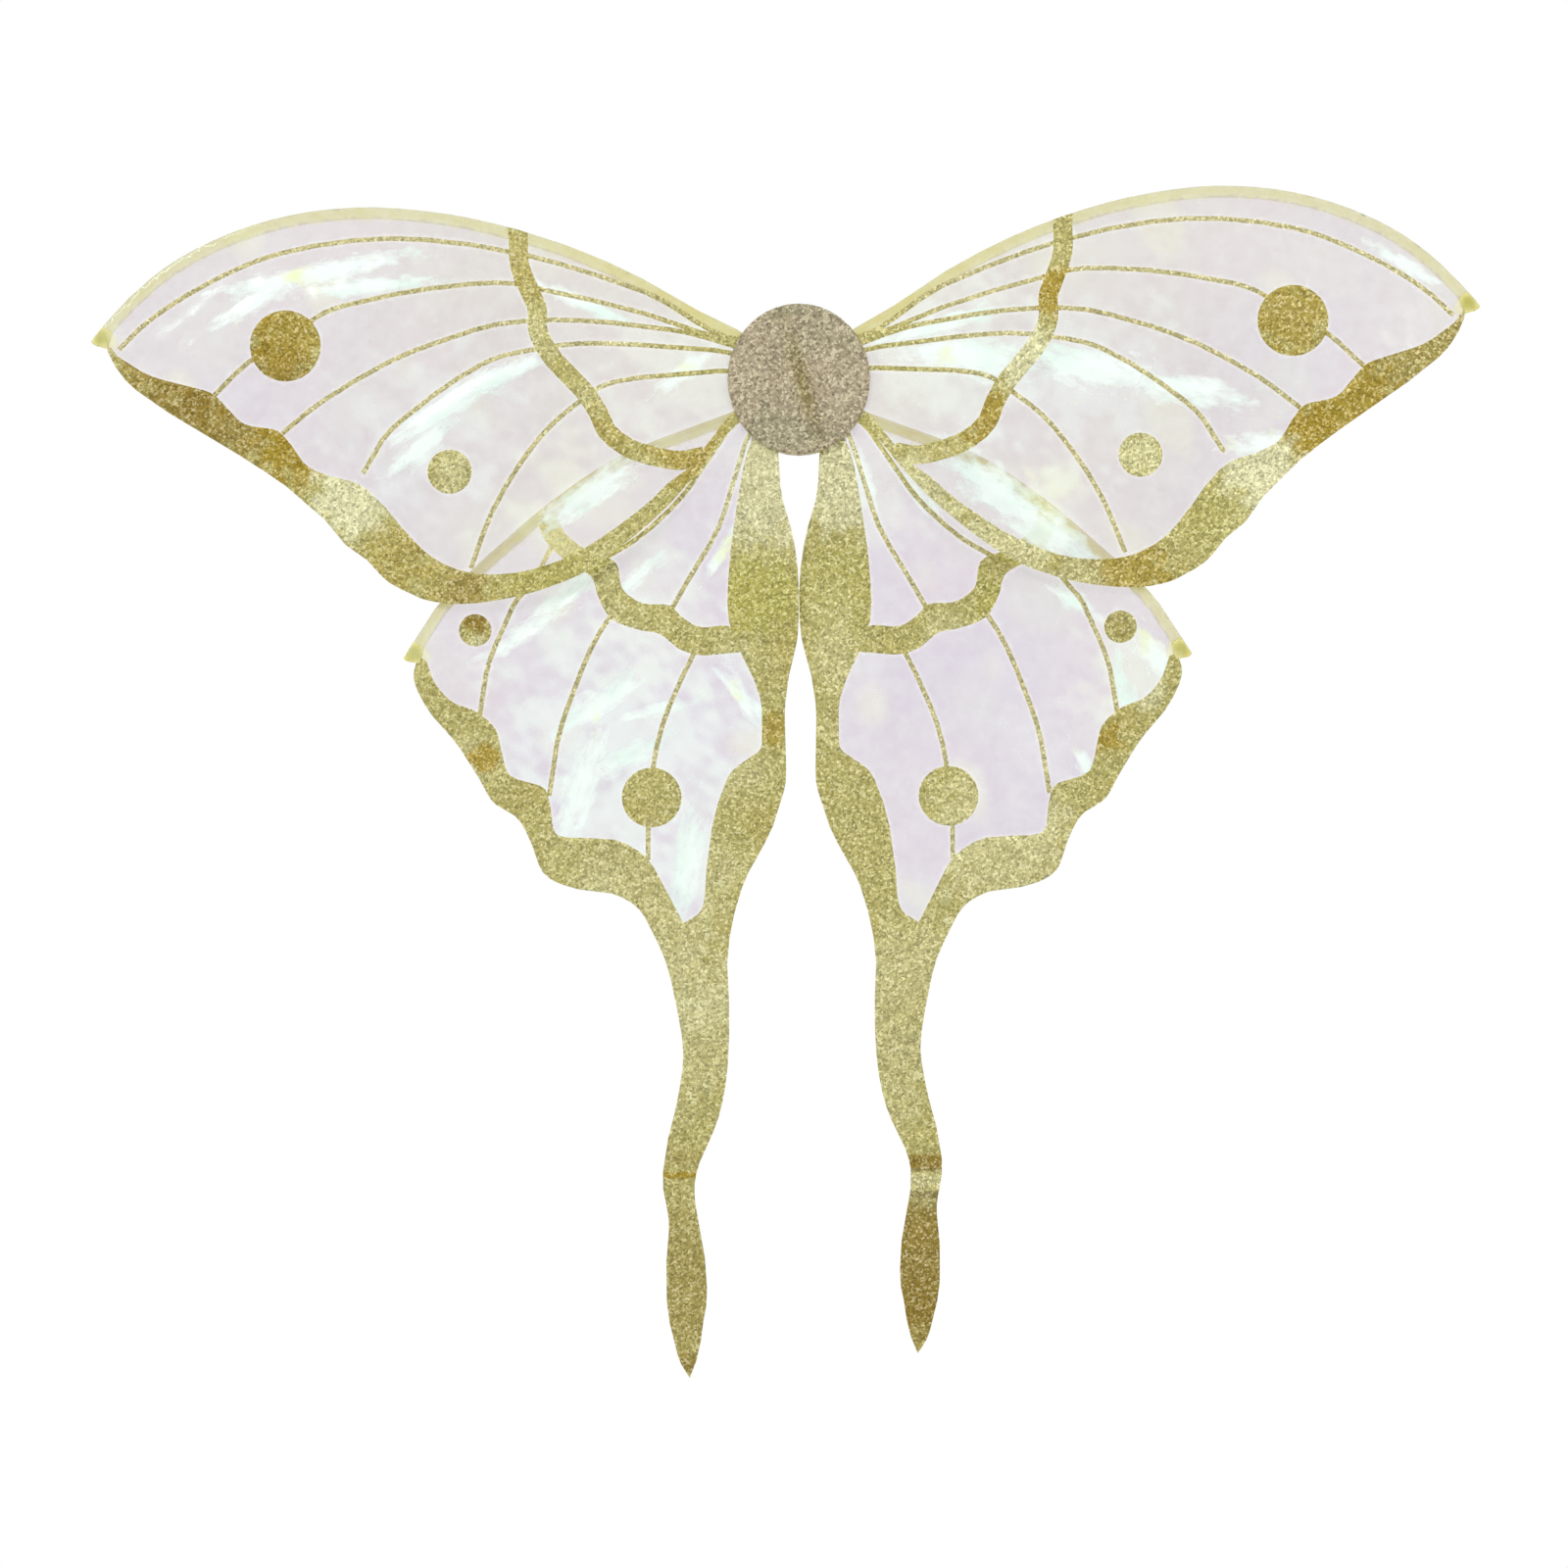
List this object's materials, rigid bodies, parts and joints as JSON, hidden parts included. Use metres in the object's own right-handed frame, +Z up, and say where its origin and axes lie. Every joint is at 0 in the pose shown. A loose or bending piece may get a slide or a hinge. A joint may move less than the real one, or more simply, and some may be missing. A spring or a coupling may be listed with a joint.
{
  "type": "fairy wings",
  "caption": "Moth-shaped costume wings of iridescent film on wire, with gold glitter borders, veins and spots, long twin tails and a round glitter hub worn on the back by elastic loops.",
  "frame": {"origin": "middle of the back pad's rear face, which lies on the wearer's back", "axes": "+X towards the right of someone looking at the wearer's back, +Y towards the wearer, +Z up"},
  "size_m": [0.7567, 0.069, 0.6506],
  "materials": {
    "iridescent_film": "thin clear film with a pale pink and mint sheen, glossy and crinkled",
    "gold_glitter": "gold glitter print, sparkling",
    "hub_glitter_foam": "champagne glitter foam sheet",
    "back_felt": "soft felt, matt",
    "board": "plain card, matt",
    "coated_wire": "sprung steel wire with a pale coating",
    "elastic": "woven elastic, matt",
    "tape": "cloth tape, matt",
    "thread": "twisted thread, satin",
    "cap": "soft pale plastic, satin"
  },
  "bodies": {
    "harness": {"back_pad": "back_felt", "centre_seam": "thread", "strap_left": "elastic", "strap_tack_upper_left": "thread", "strap_tack_lower_left": "thread", "strap_right": "elastic", "strap_tack_upper_right": "thread", "strap_tack_lower_right": "thread"},
    "hub_left": {"front_pad_left": "hub_glitter_foam", "hub_board_left": "board", "wire_tape_left": "tape"},
    "forewing_left": {"forewing_film_left": "iridescent_film", "forewing_wire_left": "coated_wire", "forewing_cap_left": "cap", "forewing_glitter_left": "gold_glitter", "forewing_dot_left": "gold_glitter"},
    "hindwing_left": {"hindwing_film_left": "iridescent_film", "hindwing_wire_left": "coated_wire", "hindwing_cap_left": "cap", "hindwing_glitter_left": "gold_glitter", "hindwing_dot_left": "gold_glitter"},
    "hub_right": {"front_pad_right": "hub_glitter_foam", "hub_board_right": "board", "wire_tape_right": "tape"},
    "forewing_right": {"forewing_film_right": "iridescent_film", "forewing_wire_right": "coated_wire", "forewing_cap_right": "cap", "forewing_glitter_right": "gold_glitter", "forewing_dot_right": "gold_glitter"},
    "hindwing_right": {"hindwing_film_right": "iridescent_film", "hindwing_wire_right": "coated_wire", "hindwing_cap_right": "cap", "hindwing_glitter_right": "gold_glitter", "hindwing_dot_right": "gold_glitter"}
  },
  "joints": [
    {"name": "left_fold", "type": "hinge", "parent": "harness", "child": "hub_left", "pos_m": [0, -0.0144, 0], "axis": [0, 0, 1], "range_deg": [0, 80]},
    {"name": "forewing_left_raise", "type": "hinge", "parent": "hub_left", "child": "forewing_left", "pos_m": [-0.009, -0.00806, 0.006], "axis": [0, 1, 0], "range_deg": [-8, 12]},
    {"name": "hindwing_left_spread", "type": "hinge", "parent": "hub_left", "child": "hindwing_left", "pos_m": [-0.009, -0.00806, -0.008], "axis": [0, 1, 0], "range_deg": [0, 10]},
    {"name": "right_fold", "type": "hinge", "parent": "harness", "child": "hub_right", "pos_m": [0, -0.0144, 0], "axis": [0, 0, -1], "range_deg": [0, 80]},
    {"name": "forewing_right_raise", "type": "hinge", "parent": "hub_right", "child": "forewing_right", "pos_m": [0.009, -0.00806, 0.006], "axis": [0, -1, 0], "range_deg": [-8, 12]},
    {"name": "hindwing_right_spread", "type": "hinge", "parent": "hub_right", "child": "hindwing_right", "pos_m": [0.009, -0.00806, -0.008], "axis": [0, -1, 0], "range_deg": [0, 10]}
  ]
}
